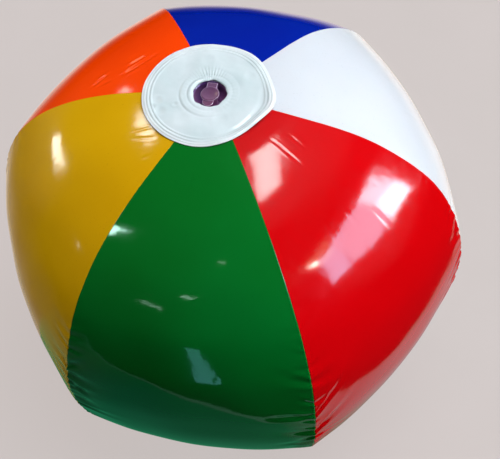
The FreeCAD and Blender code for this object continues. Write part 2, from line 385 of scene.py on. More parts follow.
def lathe(name, outline, material):
    """A closed solid of revolution from (radius, height) corners in metres. Corners on the axis are caps."""
    angles = np.linspace(0, 2 * math.pi, LATHE_SEGMENTS, endpoint=False)
    vertices, rings = [], []
    for radius, height in outline:
        if radius < ON_AXIS:
            rings.append([len(vertices)])
            vertices.append((0.0, 0.0, height))
        else:
            rings.append(list(range(len(vertices), len(vertices) + LATHE_SEGMENTS)))
            vertices += [(radius * math.cos(a), radius * math.sin(a), height) for a in angles]
    faces = []
    for ring, following in zip(rings, rings[1:] + rings[:1]):
        if len(ring) == 1 and len(following) == 1:
            continue
        for k in range(LATHE_SEGMENTS):
            n = (k + 1) % LATHE_SEGMENTS
            if len(ring) == 1:
                faces.append((ring[0], following[k], following[n]))
            elif len(following) == 1:
                faces.append((ring[k], following[0], ring[n]))
            else:
                faces.append((ring[k], following[k], following[n], ring[n]))
    piece = mesh_object(name, vertices, faces, material)
    face_outward(piece)
    return piece


# ------------------------------------------------------------------ materials


def new_material(name):
    material = bpy.data.materials.new(name)
    material.use_nodes = True
    nodes = material.node_tree.nodes
    nodes.clear()
    output = nodes.new("ShaderNodeOutputMaterial")
    shader = nodes.new("ShaderNodeBsdfPrincipled")
    material.node_tree.links.new(shader.outputs["BSDF"], output.inputs["Surface"])
    return material, shader


def add_node(material, kind, inputs=None, **settings):
    made = material.node_tree.nodes.new(kind)
    for key, value in settings.items():
        setattr(made, key, value)
    for key, value in (inputs or {}).items():
        if isinstance(value, bpy.types.NodeSocket):
            material.node_tree.links.new(value, made.inputs[key])
        else:
            made.inputs[key].default_value = value
    return made


def noise(material, scale, detail=2.0, roughness=0.5, stretch=(1, 1, 1)):
    place = add_node(material, "ShaderNodeTexCoord")
    mapping = add_node(material, "ShaderNodeMapping", {"Vector": place.outputs["Object"], "Scale": stretch})
    return add_node(
        material,
        "ShaderNodeTexNoise",
        {"Vector": mapping.outputs["Vector"], "Scale": scale, "Detail": detail, "Roughness": roughness},
    ).outputs["Fac"]


def ramp(material, factor, low, high, low_colour, high_colour):
    made = add_node(material, "ShaderNodeValToRGB", {"Fac": factor})
    made.color_ramp.elements[0].position = low
    made.color_ramp.elements[1].position = high
    made.color_ramp.elements[0].color = (*low_colour, 1)
    made.color_ramp.elements[1].color = (*high_colour, 1)
    return made.outputs["Color"]


def bump(material, heights):
    """Stacks bump nodes: (height socket, strength, distance in metres)."""
    normal = None
    for height, strength, distance in heights:
        inputs = {"Height": height, "Strength": strength, "Distance": distance}
        if normal is not None:
            inputs["Normal"] = normal
        normal = add_node(material, "ShaderNodeBump", inputs).outputs["Normal"]
    return normal


def remap(material, value, low, high, to_low=0.0, to_high=1.0):
    inputs = {"Value": value, "From Min": low, "From Max": high, "To Min": to_low, "To Max": to_high}
    return add_node(material, "ShaderNodeMapRange", inputs).outputs["Result"]


def vinyl(name, deep, bright, rough, subsurface):
    """Glossy calendered film: a saturated colour that varies softly, faint ripples and handling marks."""
    material, shader = new_material(name)
    broad = noise(material, 9, detail=3)
    colour = ramp(material, broad, 0.32, 0.68, deep, bright)
    fine = noise(material, 160, detail=4, roughness=0.6)
    specks = ramp(material, noise(material, 900, detail=1), 0.70, 0.76, (1, 1, 1), (0.86, 0.86, 0.86))
    mixed = add_node(material, "ShaderNodeMix", data_type="RGBA", blend_type="MULTIPLY")
    mixed.inputs["Factor"].default_value = 1.0
    links = material.node_tree.links
    links.new(colour, mixed.inputs[6])
    links.new(specks, mixed.inputs[7])
    links.new(mixed.outputs[2], shader.inputs["Base Color"])
    links.new(remap(material, fine, 0.3, 0.75, *rough), shader.inputs["Roughness"])
    ripples = noise(material, 55, detail=2)
    orange_peel = noise(material, 420, detail=2)
    normal = bump(material, [(ripples, 0.12, 0.0010), (orange_peel, 0.06, 0.0002)])
    links.new(normal, shader.inputs["Normal"])
    shader.inputs["IOR"].default_value = 1.5
    shader.inputs["Subsurface Weight"].default_value = subsurface
    shader.inputs["Subsurface Scale"].default_value = 0.002
    shader.inputs["Subsurface Radius"].default_value = (1.0, 0.6, 0.5)
    return material


FILM_COLOURS = {
    "green": ((0.0, 0.116, 0.010), (0.0, 0.146, 0.018)),
    "red": ((0.420, 0.000, 0.001), (0.470, 0.000, 0.002)),
    "white": ((0.480, 0.520, 0.580), (0.530, 0.570, 0.620)),
    "blue": ((0.000, 0.010, 0.260), (0.000, 0.017, 0.330)),
    "orange": ((0.780, 0.045, 0.000), (0.880, 0.060, 0.001)),
    "yellow": ((0.560, 0.300, 0.000), (0.640, 0.360, 0.001)),
}
SEAM_COLOURS = {
    # green and red: a light tan, partly the weld's own colour and partly a painted highlight line along the
    # seam
    ("green", "red"): (0.50, 0.24, 0.10),
    ("red", "white"): (0.085, 0.075, 0.16),
    ("white", "blue"): (0.20, 0.27, 0.55),
    ("blue", "orange"): (0.16, 0.05, 0.09),
    ("orange", "yellow"): (0.75, 0.22, 0.02),
    ("yellow", "green"): (0.36, 0.34, 0.04),
}


def weld_vinyl(name, colour):
    material, shader = new_material(name)
    links = material.node_tree.links
    streaks = noise(material, 300, detail=3, stretch=(1, 1, 0.25))
    dark = tuple(0.55 * c for c in colour)
    links.new(ramp(material, streaks, 0.3, 0.7, dark, colour), shader.inputs["Base Color"])
    links.new(bump(material, [(streaks, 0.3, 0.0003)]), shader.inputs["Normal"])
    shader.inputs["Roughness"].default_value = 0.22
    shader.inputs["Coat Weight"].default_value = 0.3
    return material


def milky_vinyl(name):
    """The end discs: white film with a faint blue-green cast, a little see-through."""
    material, shader = new_material(name)
    links = material.node_tree.links
    clouds = noise(material, 34, detail=4)
    cool = ramp(material, clouds, 0.34, 0.66, (0.46, 0.58, 0.62), (0.57, 0.67, 0.72))
    place = add_node(material, "ShaderNodeTexCoord")
    level = {0: place.outputs["Object"], 1: (1, 1, 0)}
    flat = add_node(material, "ShaderNodeVectorMath", level, operation="MULTIPLY")
    from_middle = {0: flat.outputs["Vector"], 1: RIM_SHIFT}
    middle = add_node(material, "ShaderNodeVectorMath", from_middle, operation="DISTANCE")
    rim = ramp(material, middle.outputs["Value"], 0.0385, 0.0415, (0, 0, 0), (1, 1, 1))
    mixed = add_node(material, "ShaderNodeMix", data_type="RGBA")
    links.new(rim, mixed.inputs[0])
    links.new(cool, mixed.inputs[6])
    mixed.inputs[7].default_value = (0.66, 0.72, 0.76, 1)
    links.new(mixed.outputs[2], shader.inputs["Base Color"])
    fine = noise(material, 260, detail=3)
    links.new(remap(material, fine, 0.3, 0.7, 0.14, 0.26), shader.inputs["Roughness"])
    ripples = noise(material, 120, detail=3)
    links.new(bump(material, [(ripples, 0.22, 0.0006), (fine, 0.10, 0.0002)]), shader.inputs["Normal"])
    shader.inputs["IOR"].default_value = 1.5
    shader.inputs["Coat Weight"].default_value = 0.3
    shader.inputs["Coat Roughness"].default_value = 0.06
    shader.inputs["Subsurface Weight"].default_value = 0.25
    shader.inputs["Subsurface Scale"].default_value = 0.003
    shader.inputs["Subsurface Radius"].default_value = (0.8, 1.0, 1.0)
    return material


# painted light: the direction along which the valve's painted glow changes from navy to purple
PAINTED_GLOW_DIRECTION = (0.62, -0.78, 0)


def clear_vinyl(name, tones, edge, transmission):
    """The valve's soft clear vinyl, coloured with painted light: its tones stand for the ball's coloured
    inside shining through, and its lighter edges are a painted highlight.
    """
    material, shader = new_material(name)
    links = material.node_tree.links
    place = add_node(material, "ShaderNodeTexCoord")
    toward = {0: place.outputs["Object"], 1: PAINTED_GLOW_DIRECTION}
    slant = add_node(material, "ShaderNodeVectorMath", toward, operation="DOT_PRODUCT")
    flow = noise(material, 260, detail=3)
    wander = {0: flow, 1: 0.010, 2: slant.outputs["Value"]}
    stirred = add_node(material, "ShaderNodeMath", wander, operation="MULTIPLY_ADD").outputs["Value"]
    tone = ramp(material, remap(material, stirred, -0.006, 0.012), 0.0, 1.0, *tones)
    # painted edge highlight: the colour grows lighter towards grazing
    facing = add_node(material, "ShaderNodeLayerWeight", {"Blend": 0.32})
    with_edge_highlight = add_node(material, "ShaderNodeMix", data_type="RGBA")
    links.new(facing.outputs["Facing"], with_edge_highlight.inputs[0])
    links.new(tone, with_edge_highlight.inputs[6])
    with_edge_highlight.inputs[7].default_value = (*edge, 1)
    links.new(with_edge_highlight.outputs[2], shader.inputs["Base Color"])
    links.new(bump(material, [(flow, 0.35, 0.0004)]), shader.inputs["Normal"])
    shader.inputs["Roughness"].default_value = 0.14
    shader.inputs["Transmission Weight"].default_value = transmission
    shader.inputs["IOR"].default_value = 1.45
    shader.inputs["Coat Weight"].default_value = 0.4
    shader.inputs["Coat Roughness"].default_value = 0.05
    return material


film_materials = {
    colour: vinyl(
        f"film_{colour}",
        *FILM_COLOURS[colour],
        rough=(0.05, 0.09) if colour == "green" else (0.08, 0.14),
        subsurface=0.12 if colour == "white" else 0.0,
    )
    for colour in COLOURS
}
disc_vinyl = milky_vinyl("disc_vinyl")
# painted light and shade: the clear valve's navy to purple tones stand for the ball's coloured inside shining
# through, the dark navy for shade inside
cup_painted_glow = ((0.070, 0.028, 0.150), (0.450, 0.120, 0.360))
cup_vinyl = clear_vinyl("cup_vinyl", cup_painted_glow, (0.42, 0.22, 0.42), 0.0)
stem_painted_glow = ((0.120, 0.060, 0.240), (0.320, 0.110, 0.280))
stem_vinyl = clear_vinyl("stem_vinyl", stem_painted_glow, (0.50, 0.30, 0.50), 0.25)
# painted highlight: the rounded edge strips are lighter, as if they caught the light
rounded_edge_highlight = ((0.300, 0.220, 0.400), (0.420, 0.260, 0.400))
edge_highlight_vinyl = clear_vinyl("edge_highlight_vinyl", rounded_edge_highlight, (0.70, 0.58, 0.72), 0.2)
plug_painted_glow = ((0.080, 0.022, 0.085), (0.120, 0.022, 0.065))
plug_vinyl = clear_vinyl("plug_vinyl", plug_painted_glow, (0.50, 0.34, 0.54), 0.25)

# ------------------------------------------------------------------ panels

spread = np.linspace(-1, 1, PANEL_COLUMNS)
crowded = 0.7 * (1.5 * spread - 0.5 * spread**3) + 0.3 * spread  # closer together near the seams
panel_angles = crowded * HALF_PANEL

for index, colour in enumerate(COLOURS):
    surface = film_surface(index, panel_angles)
    faces = grid_faces(PANEL_ROWS + 2, PANEL_COLUMNS)
    panel = mesh_object(f"film_panel_{colour}", surface.reshape(-1, 3), faces, film_materials[colour])
    thicken(panel, FILM)
    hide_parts(f"panel_{colour}")
    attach(panel, "ball")

# ------------------------------------------------------------------ seams: a raised lap line over each weld

LAP_HALF_WIDTH = 0.75 * MM
LAP_HEIGHT = 0.22 * MM
LAP_SINK = 0.18 * MM

for index, colour in enumerate(COLOURS):
    following = COLOURS[(index + 1) % len(COLOURS)]
    edge = film_surface(index, panel_angles)[:, -3:]
    line = edge[:, -1]
    line_angles = np.arctan2(line[:, 1], line[:, 0])
    side = np.stack([-np.sin(line_angles), np.cos(line_angles), 0 * line_angles], axis=-1)
    normal = seam_normal(line_angles, grid_normals(edge)[:, -1])
    slope = edge[:, 0] - line
    slope /= np.linalg.norm(slope, axis=-1, keepdims=True)
    mirrored = slope - 2 * (slope * side).sum(-1, keepdims=True) * side
    ring = [
        line + LAP_HALF_WIDTH * slope - LAP_SINK * normal,
        line + 0.9 * LAP_HALF_WIDTH * slope + 0.45 * LAP_HEIGHT * normal,
        line + 0.4 * LAP_HALF_WIDTH * slope + 0.95 * LAP_HEIGHT * normal,
        line + 0.4 * LAP_HALF_WIDTH * mirrored + 0.95 * LAP_HEIGHT * normal,
        line + 0.9 * LAP_HALF_WIDTH * mirrored + 0.45 * LAP_HEIGHT * normal,
        line + LAP_HALF_WIDTH * mirrored - LAP_SINK * normal,
    ]
    rows = np.stack(ring, axis=1)
    faces = capped_faces(*rows.shape[:2])
    lap_vinyl = weld_vinyl(f"weld_{colour}_{following}", SEAM_COLOURS[colour, following])
    lap = mesh_object(f"seam_lap_{colour}_{following}", rows.reshape(-1, 3), faces, lap_vinyl)
    face_outward(lap)
    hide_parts(f"seam_weld_{colour}_{following}")
    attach(lap, "ball")

# ------------------------------------------------------------------ end discs

disc_low, disc_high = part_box("valve_disc")
flange_low, flange_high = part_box("valve_flange")
cup_low, cup_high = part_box("valve_diaphragm")
DISC_RADIUS = disc_high.x
DISC_UNDERSIDE = flange_high.z
DISC_FILM = 0.5 * MM
DISC_TOP = DISC_UNDERSIDE + DISC_FILM
RIM_UNDERSIDE = disc_low.z
DISC_FLAT = 36 * MM
HOLE_RADIUS = 10.9 * MM
FLANGE_RADIUS = flange_high.x
DISC_SEGMENTS = 480
WELD_RINGS = ((36.6, 0.34, 0.55), (38.7, 0.42, 0.60), (40.6, 0.30, 0.50))  # radius, height, half-width in mm


def swell(distance, width):
    return np.exp(-((distance / width) ** 2))


def step(value, low, high):
    t = np.clip((value - low) / (high - low), 0, 1)
    return t * t * (3 - 2 * t)


def angle_gap(angle, middle_degrees):
    """Signed angle from a direction, in degrees."""
    return (np.degrees(angle) - middle_degrees + 180) % 360 - 180


def disc_heights(radius, angle):
    """Height of an end disc's outer face above its flat middle, in metres, valve side up."""
    slope = (DISC_UNDERSIDE - RIM_UNDERSIDE) / (DISC_RADIUS - DISC_FLAT)
    height = -slope * np.maximum(0, radius - DISC_FLAT)
    ring_strength = 0.75 + 0.25 * np.sin(angle * 2 + 0.7) + 0.12 * np.sin(angle * 7 + 2.0)
    for ring, rise, width in WELD_RINGS:
        height = height + ring_strength * rise * MM * swell(radius - ring * MM, width * MM)
    return height


SHIFT_FROM, SHIFT_TO = 14 * MM, 36 * MM  # between these radii the valve's shift turns into the rim's


def polar_piece(name, radii, outline, heights, z_at, material):
    """A disc from rings of points. outline(angle, radius) gives the true radius, heights(radius, angle) the
    height. A disc that starts near the axis is closed there."""
    angle = np.linspace(0, 2 * math.pi, DISC_SEGMENTS, endpoint=False)[None, :]
    radius = np.array(radii)[:, None] * np.ones_like(angle)
    true_radius = outline(angle, radius)
    z = z_at + heights(radius, angle * np.ones_like(radius))
    toward_rim = step(radius, SHIFT_FROM, SHIFT_TO)
    shift_x = VALVE_SHIFT.x + (RIM_SHIFT.x - VALVE_SHIFT.x) * toward_rim
    shift_y = VALVE_SHIFT.y + (RIM_SHIFT.y - VALVE_SHIFT.y) * toward_rim
    x, y = true_radius * np.cos(angle) + shift_x, true_radius * np.sin(angle) + shift_y
    points = np.stack([x, y, z], axis=-1)
    faces = grid_faces(len(radii), DISC_SEGMENTS, wrap_columns=True)
    vertices = points.reshape(-1, 3)
    if radii[0] < 1 * MM:
        vertices = np.concatenate([vertices, [[VALVE_SHIFT.x, VALVE_SHIFT.y, float(z[0].mean())]]])
        centre = len(vertices) - 1
        faces += [(centre, (k + 1) % DISC_SEGMENTS, k) for k in range(DISC_SEGMENTS)]
    return mesh_object(name, vertices, faces, material)


def seam_corner(angle):
    """1 over a seam, falling to 0 at a panel's middle."""
    return 0.5 + 0.5 * np.cos(len(COLOURS) * angle)


def valve_outline(angle, radius):
    rim = step(radius, 30 * MM, DISC_RADIUS)
    wobble = 0.35 * np.sin(2 * angle + 1.1) + 0.20 * np.sin(3 * angle + 0.4) + 0.14 * np.sin(5 * angle + 2.2)
    wobble = wobble - 1.3 * swell(angle_gap(angle, 26), 20) - 1.5 * swell(angle_gap(angle, -38), 22)
    lifted = 1.6 * swell(angle_gap(angle, -4), 13)
    hole = 1 - step(radius, HOLE_RADIUS, 13 * MM)
    dents = 0.26 * np.sin(5 * angle + 0.9) + 0.20 * np.sin(8 * angle + 1.9) + 0.12 * np.sin(13 * angle) + 0.25
    return radius + MM * (rim * (wobble + lifted) + hole * dents)


# Small dents in the valve's disc: x, y, half-width and depth in millimetres.
DISC_DENTS = (
    (-31.0, -11.0, 2.4, 0.30),
    (-27.5, -19.0, 2.8, 0.34),
    (-33.0, -16.5, 1.8, 0.22),
    (-19.5, -12.0, 1.4, 0.20),
    (-12.0, -24.0, 3.6, 0.16),
    (11.0, -19.0, 3.4, 0.20),
    (24.0, 17.0, 2.8, 0.18),
    (-6.0, 27.0, 3.2, 0.16),
)
# directions on the valve's disc, in degrees
FLANGE_SHOWS, LIP_SHOWS, PLEATED, RIM_LIFTED = 213, 168, 98, -24
PLEATS = 58


def valve_heights(radius, angle):
    mm = radius / MM
    height = disc_heights(radius, angle)
    # the flange under the disc shows as a round step, clearest on one side
    flange = 1 - step(mm, FLANGE_RADIUS / MM - 0.6, FLANGE_RADIUS / MM + 1.0)
    clear_side = 0.12 + 0.88 * swell(angle_gap(angle, FLANGE_SHOWS), 48)
    height = height + 0.40 * MM * flange * clear_side
    height = height - 0.20 * MM * swell(mm - FLANGE_RADIUS / MM - 1.3, 0.8) * clear_side
    # a soft ring round the hole, and its thin rolled lip
    left_side = 0.20 + 0.80 * swell(angle_gap(angle, LIP_SHOWS), 62)
    height = height + 0.42 * MM * swell(mm - 12.9, 0.9) * left_side
    height = height - 0.34 * MM * swell(mm - 14.8, 0.8) * left_side
    height = height - 0.55 * MM * (1 - step(mm, 10.7, 11.9)) ** 1.5
    # the disc is pulled into fine pleats beyond the strap
    far_side = swell(angle_gap(angle, PLEATED), 34)
    height = height + 0.16 * MM * far_side * swell(mm - 16.5, 4.2) * np.sin(angle * PLEATS)
    height = height + 0.02 * MM * swell(mm - 15.0, 2.6) * np.sin(angle * 36 + 1)
    # the middle is a little proud, with slow dents, and the rim stands off on one side
    height = height + 0.5 * MM * (1 - step(mm, 14, 38))
    x, y = radius * np.cos(angle), radius * np.sin(angle)
    where = np.stack([x, y, np.zeros_like(x)], axis=-1)
    height = height + 0.22 * MM * soft_waves(where, 17 * MM, 21) * step(mm, 18, 24)
    for dent_x, dent_y, width, depth in DISC_DENTS:
        away = np.hypot(x / MM - dent_x, y / MM - dent_y) / width
        height = height - depth * MM * (np.exp(-(away**2)) - 0.5 * np.exp(-(((away - 1.5) / 0.6) ** 2)))
    lifted = swell(angle_gap(angle, RIM_LIFTED), 38)
    height = height + 2.2 * MM * lifted * step(mm, 36.2, 40.8)
    height = height - 0.7 * MM * lifted * swell(mm - 35.2, 2.2)
    height = height + 0.5 * MM * seam_corner(angle) * step(mm, 35, 42) * (1 - lifted)
    return height


def base_heights(radius, angle):
    mm = radius / MM
    where = np.stack([radius * np.cos(angle), radius * np.sin(angle), 0 * radius], axis=-1)
    height = disc_heights(radius, angle)
    dimple = -1.1 * MM * (1 - step(mm, 3, 30))
    return height + dimple + 0.16 * MM * soft_waves(where, 17 * MM, 8) * (1 - step(mm, 30, 35))


def valve_radii():
    fine_hole = np.linspace(HOLE_RADIUS, 21 * MM, 46)
    middle = np.linspace(21.4 * MM, 35 * MM, 30)
    rim = np.linspace(35.2 * MM, DISC_RADIUS, 46)
    return np.concatenate([fine_hole, middle, rim])


valve_side = polar_piece("end_disc_valve", valve_radii(), valve_outline, valve_heights, DISC_TOP, disc_vinyl)
thicken(valve_side, DISC_FILM)
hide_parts("valve_disc")
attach(valve_side, "ball")

base_radii = np.concatenate([np.linspace(0.6 * MM, 35 * MM, 52), np.linspace(35.2 * MM, DISC_RADIUS, 46)])
base_side = polar_piece(
    "end_disc_base", base_radii, lambda angle, radius: radius, base_heights, DISC_TOP, disc_vinyl
)
base_side.data.transform(Matrix.Scale(-1, 4, (0, 0, 1)))
base_side.data.flip_normals()
thicken(base_side, DISC_FILM)
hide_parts("base_disc")
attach(base_side, "ball")

# ------------------------------------------------------------------ valve

stem_low, stem_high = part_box("valve_stem")
plug_low, plug_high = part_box("valve_plug")
strap_low, strap_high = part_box("plug_tether")
flap_low, flap_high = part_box("check_flap")

CUP_OUTER = cup_high.x
CUP_WALL = 0.45 * MM
COLLAR = stem_high.x
CUP_BEND = DISC_UNDERSIDE - 5 * MM
COLLAR_TOP = cup_low.z + 1.2 * MM


CUP_SHOULDER = CUP_BEND + 1.4 * MM
CUP_STEPS = 9


def cup_outline():
    """The diaphragm: an upright wall, a rounded fold and a cone down to the collar."""
    inner_edge = COLLAR + 0.1 * MM
    wall = CUP_OUTER - CUP_WALL
    top = [(wall, DISC_UNDERSIDE)]
    for k in range(CUP_STEPS + 1):
        t = k / CUP_STEPS
        radius = wall - (wall - inner_edge) * t**1.5
        height = CUP_SHOULDER - (CUP_SHOULDER - COLLAR_TOP) * t**0.72
        top.append((radius, height))
    under = [(radius + CUP_WALL, height - 0.35 * MM) for radius, height in reversed(top[1:])]
    return top + under + [(CUP_OUTER, DISC_UNDERSIDE)]


def move_to_valve(piece):
    piece.data.transform(Matrix.Translation(VALVE_SHIFT))


cup = lathe("valve_cup", cup_outline(), cup_vinyl)
move_to_valve(cup)
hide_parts("valve_diaphragm")
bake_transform(cup)

STEM_RADIUS = 4.8 * MM
STEM_BORE = 3.3 * MM
MOUTH_RADIUS = 5.8 * MM
MOUTH_HEIGHT = 1.2 * MM
stem = lathe(
    "blow_tube",
    [
        (STEM_BORE, stem_low.z),
        (STEM_RADIUS, stem_low.z),
        (STEM_RADIUS, cup_low.z),
        (COLLAR, cup_low.z),
        (COLLAR, COLLAR_TOP),
        (STEM_RADIUS, COLLAR_TOP),
        (STEM_RADIUS, stem_high.z - MOUTH_HEIGHT),
        (MOUTH_RADIUS, stem_high.z - MOUTH_HEIGHT),
        (MOUTH_RADIUS, stem_high.z),
        (STEM_BORE + 0.4 * MM, stem_high.z),
        (STEM_BORE, stem_high.z - 0.8 * MM),
    ],
    stem_vinyl,
)
round_edges(stem, 0.22 * MM, edge_highlight_vinyl)
move_to_valve(stem)
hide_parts("valve_stem")
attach(stem, "valve_stem")

HEAD_RADIUS = plug_high.x
SHANK_TIP, SHANK_ROOT = 2.25 * MM, 3.2 * MM
HEAD_BASE = stem_high.z + 0.05 * MM
plug = lathe(
    "stopper",
    [
        (0, plug_low.z),
        (SHANK_TIP, plug_low.z),
        (SHANK_ROOT, HEAD_BASE),
        (HEAD_RADIUS, HEAD_BASE),
        (HEAD_RADIUS, plug_high.z - 0.25 * MM),
        (5.5 * MM, plug_high.z),
        (5.0 * MM, plug_high.z - 0.02 * MM),
        (4.2 * MM, plug_high.z - 0.30 * MM),
        (2.6 * MM, plug_high.z - 0.42 * MM),
        (1.2 * MM, plug_high.z - 0.60 * MM),
        (0, plug_high.z - 0.64 * MM),
    ],
    plug_vinyl,
)
round_edges(plug, 0.25 * MM, edge_highlight_vinyl)
move_to_valve(plug)
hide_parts("valve_plug")
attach(plug, "valve_plug")


def slab(name, outline, low, high, material):
    """A flat plate from an outline of (x, y) corners between two heights."""
    count = len(outline)
    vertices = [(x, y, low) for x, y in outline] + [(x, y, high) for x, y in outline]
    faces = [tuple(reversed(range(count))), tuple(range(count, 2 * count))]
    faces += [(k, (k + 1) % count, (k + 1) % count + count, k + count) for k in range(count)]
    piece = mesh_object(name, vertices, faces, material, smooth=False)
    face_outward(piece)
    return piece


TAB_HALF = 3.5 * MM
TAB_ROOT = -4.7 * MM
TAB_THICKNESS = 0.9 * MM
tab_end = -plug_low.y
arc = [math.radians(a) for a in range(180, 361, 12)]
tab_outline = [(TAB_HALF, TAB_ROOT), (-TAB_HALF, TAB_ROOT)]
tab_outline += [(TAB_HALF * math.cos(a), -(tab_end - TAB_HALF) + TAB_HALF * math.sin(a)) for a in arc]
tab = slab("stopper_tab", tab_outline, HEAD_BASE, HEAD_BASE + TAB_THICKNESS, plug_vinyl)
round_edges(tab, 0.28 * MM, edge_highlight_vinyl)
move_to_valve(tab)
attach(tab, "valve_plug")


STRAP_THICKNESS = 0.7 * MM
STRAP_END = 5.2 * MM  # where it leaves the mouth rim and joins the head


def strap_mesh():
    """The strap: out from the mouth rim, round a bend and back to the stopper's head."""
    half_width = strap_high.x
    bend_radius = (strap_high.z - strap_low.z - STRAP_THICKNESS) / 2
    middle_z = (strap_high.z + strap_low.z) / 2
    bend_y = strap_high.y - bend_radius - STRAP_THICKNESS / 2
    path = [(y, middle_z - bend_radius, 0.0, -1.0) for y in np.linspace(STRAP_END, bend_y, 7)[:-1]]
    for a in np.linspace(-90, 90, 15):
        c, s = math.cos(math.radians(a)), math.sin(math.radians(a))
        path.append((bend_y + bend_radius * c, middle_z + bend_radius * s, c, s))
    path += [(y, middle_z + bend_radius, 0.0, 1.0) for y in np.linspace(bend_y, STRAP_END, 7)[1:]]
    rows = []
    for y, z, out_y, out_z in path:
        ring = []
        for x, lift in ((-1, -1), (-1, 0.5), (-0.86, 1), (0.86, 1), (1, 0.5), (1, -1)):
            offset = lift * STRAP_THICKNESS / 2
            ring.append((x * half_width, y + out_y * offset, z + out_z * offset))
        rows.append(ring)
    points = np.array(rows)
    faces = capped_faces(*points.shape[:2])
    piece = mesh_object("stopper_strap", points.reshape(-1, 3), faces, plug_vinyl, smooth=False)
    face_outward(piece)
    # the strap's sides and far bend take the lighter edge material, a painted highlight
    piece.data.materials.append(edge_highlight_vinyl)
    for face in piece.data.polygons:
        if abs(face.center.x) > 0.88 * half_width or face.center.y > bend_y + 0.6 * bend_radius:
            face.material_index = 1
    return piece


strap = strap_mesh()
move_to_valve(strap)
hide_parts("plug_tether")
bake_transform(strap)

FLANGE_BORE = CUP_OUTER
flange = lathe(
    "valve_flange_ring",
    [
        (FLANGE_BORE, flange_low.z),
        (FLANGE_RADIUS, flange_low.z),
        (FLANGE_RADIUS, flange_high.z),
        (FLANGE_BORE, flange_high.z),
    ],
    disc_vinyl,
)
round_edges(flange, 0.15 * MM)
move_to_valve(flange)
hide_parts("valve_flange")
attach(flange, "ball")

FLAP_RADIUS = flap_high.x
FLAP_TAB_HALF = 1.2 * MM
hinge_angle = math.asin(FLAP_TAB_HALF / FLAP_RADIUS)
flap_turns = np.linspace(-math.pi / 2 + hinge_angle, 1.5 * math.pi - hinge_angle, 60)
flap_outline = [(FLAP_RADIUS * math.cos(a), FLAP_RADIUS * math.sin(a)) for a in flap_turns]
flap_outline += [(-FLAP_TAB_HALF, flap_low.y), (FLAP_TAB_HALF, flap_low.y)]
flap = slab("air_flap", flap_outline, flap_low.z, flap_high.z, stem_vinyl)
round_edges(flap, 0.12 * MM, edge_highlight_vinyl)
move_to_valve(flap)
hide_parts("check_flap")
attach(flap, "check_flap")

# ------------------------------------------------------------------ floor, lights and camera

FLOOR_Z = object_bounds()[0].z


def floor_material():
    material, shader = new_material("floor_paper")
    links = material.node_tree.links
    grain = noise(material, 14, detail=4)
    paper = ramp(material, grain, 0.3, 0.7, (0.060, 0.056, 0.054), (0.068, 0.063, 0.062))
    links.new(paper, shader.inputs["Base Color"])
    shader.inputs["Roughness"].default_value = 0.75
    shader.inputs["Specular IOR Level"].default_value = 0.2
    shader.inputs["Emission Color"].default_value = (0.545, 0.497, 0.486, 1)
    shader.inputs["Emission Strength"].default_value = 1.0
    return material


FLOOR_HALF = 3.0
floor = mesh_object(
    "floor",
    [(FLOOR_HALF * x, FLOOR_HALF * y, FLOOR_Z) for x, y in ((-1, -1), (1, -1), (1, 1), (-1, 1))],
    [(0, 1, 2, 3)],
    floor_material(),
    smooth=False,
)
floor.visible_glossy = False
floor.visible_diffuse = False
floor.visible_shadow = False

# painted reflection of what the film reflects below it: glowing sheets for a darker table top that ends in
# front of the ball, with a light edge
TABLE_EDGE = (
    (0.70, 0.42),
    (0.32, 0.09),
    (0.235, -0.04),
    (0.22, -0.17),
    (0.10, -0.24),
    (-0.03, -0.345),
    (-0.40, -0.70),
    (-1.50, -1.75),
)


def painted_reflection_material(name, tones, centre=None):
    """A glowing sheet, seen only in gloss, that is a painted reflection: its painted light and shade change
    across it.
    Each tone is a place along x, or a distance from the centre, and a colour."""
    material, shader = new_material(name)
    place = add_node(material, "ShaderNodeTexCoord").outputs["Object"]
    if centre is None:
        distance = add_node(material, "ShaderNodeSeparateXYZ", {"Vector": place}).outputs["X"]
    else:
        away = add_node(material, "ShaderNodeVectorMath", {0: place, 1: centre}, operation="DISTANCE")
        distance = away.outputs["Value"]
    first, last = tones[0][0], tones[-1][0]
    made = add_node(material, "ShaderNodeValToRGB", {"Fac": remap(material, distance, first, last)})
    stops = made.color_ramp.elements
    stops[0].color = (*tones[0][1], 1)
    stops[-1].color = (*tones[-1][1], 1)
    for x, colour in tones[1:-1]:
        stops.new((x - first) / (last - first)).color = (*colour, 1)
    material.node_tree.links.new(made.outputs["Color"], shader.inputs["Emission Color"])
    shader.inputs["Emission Strength"].default_value = 1.0
    shader.inputs["Base Color"].default_value = (0, 0, 0, 1)
    shader.inputs["Specular IOR Level"].default_value = 0.0
    return material


def painted_reflection_sheet(name, corners, tones, centre=None):
    material = painted_reflection_material(name, tones, centre)
    sheet = mesh_object(name, corners, [tuple(range(len(corners)))], material, smooth=False)
    for ray in ("camera", "diffuse", "shadow", "transmission"):
        setattr(sheet, f"visible_{ray}", False)


table_level = FLOOR_Z - 1 * MM
far_corners = [(x, y, table_level) for x, y in ((-2.6, -1.75), (-2.6, 0.3), (-0.3, 0.3), (0.25, 0.25))]
table_corners = [*far_corners, *[(x, y, table_level) for x, y in TABLE_EDGE]]
# painted light and shade of the reflected table: dark at the far left, dark green in front, light grey to the
# right
painted_table_glow = (
    (-0.60, (0.01, 0.01, 0.01)),
    (-0.28, (0.07, 0.23, 0.12)),
    (-0.12, (0.02, 0.25, 0.12)),
    (0.08, (0.035, 0.24, 0.12)),
    (0.16, (0.40, 0.36, 0.36)),
    (0.40, (0.50, 0.46, 0.46)),
)
painted_reflection_sheet("painted_table_reflection", table_corners, painted_table_glow)
edge_near = [(x + 0.004, y - 0.016, table_level - 0.002) for x, y in TABLE_EDGE]
edge_far = [(x, y, table_level + 0.0005) for x, y in reversed(TABLE_EDGE)]
